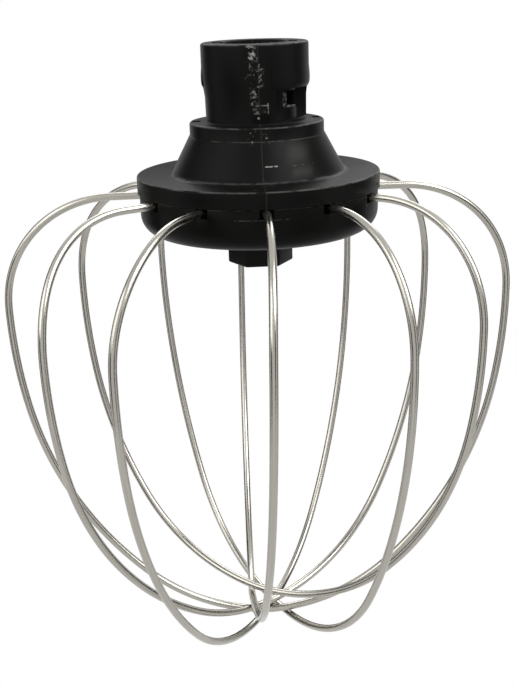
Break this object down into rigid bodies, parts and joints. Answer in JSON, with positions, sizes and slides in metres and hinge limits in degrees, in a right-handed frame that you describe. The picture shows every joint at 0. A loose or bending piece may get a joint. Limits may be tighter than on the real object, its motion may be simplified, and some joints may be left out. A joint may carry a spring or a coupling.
{
  "type": "whisk attachment",
  "caption": "Wire whisk attachment for a stand mixer: balloon cage of steel wire loops clamped between a black bayonet drive hub and a cap held by a hexagon-headed screw.",
  "frame": {"origin": "centre of the drive socket's rim, where the mixer's shaft goes in", "axes": "+Z along the socket's bore, out of its mouth; -Y towards the front, where the hub has its moulded mark; the cage hangs down along -Z"},
  "size_m": [0.1368, 0.1309, 0.1664],
  "materials": {
    "hub_plastic": "satin",
    "cap_plastic": "satin",
    "screw_plastic": "satin",
    "whisk_wire": "polished"
  },
  "bodies": {
    "root": {"drive_hub": "hub_plastic", "clamp_cap": "cap_plastic", "clamp_screw": "screw_plastic", "wire_loop_1": "whisk_wire", "wire_loop_2": "whisk_wire", "wire_loop_3": "whisk_wire", "wire_loop_4": "whisk_wire", "wire_loop_5": "whisk_wire", "wire_loop_6": "whisk_wire"}
  },
  "joints": []
}
